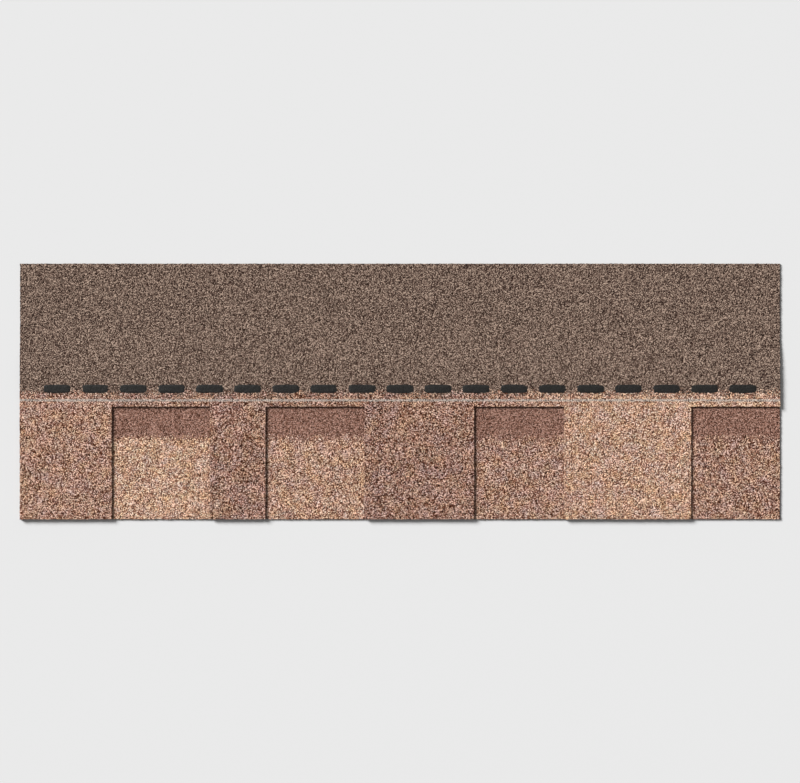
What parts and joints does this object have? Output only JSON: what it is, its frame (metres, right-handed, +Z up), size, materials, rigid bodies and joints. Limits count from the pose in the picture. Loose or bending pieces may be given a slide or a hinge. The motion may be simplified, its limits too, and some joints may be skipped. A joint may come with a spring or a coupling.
{
  "type": "laminated asphalt shingle",
  "caption": "Laminated asphalt roofing shingle: a granule-faced top ply cut into wide teeth, glued over a backer ply, with seal dashes on top and release film beneath.",
  "frame": {"origin": "on the deck, under the middle of the shingle's 1000 by 337 mm outline", "axes": "+X along the shingle's length, +Y up the roof from the butt edge to the headlap edge, +Z up from the deck to the granule face"},
  "size_m": [1, 0.337, 0.0064],
  "materials": {
    "top_granules": "asphalt sheet faced with tan and brown ceramic-coated stone granules",
    "backer_granules": "asphalt sheet faced with granules, with a darker shadow band at the top of the slots",
    "asphalt_adhesive": "black laminating asphalt",
    "asphalt_sealant": "black glossy thermal sealant",
    "release_film": "thin clear polyester film over black asphalt"
  },
  "bodies": {
    "root": {"top_ply": "top_granules", "backer_ply": "backer_granules", "laminating_adhesive": "asphalt_adhesive", "sealant_strip": "asphalt_sealant", "release_film": "release_film"}
  },
  "joints": []
}
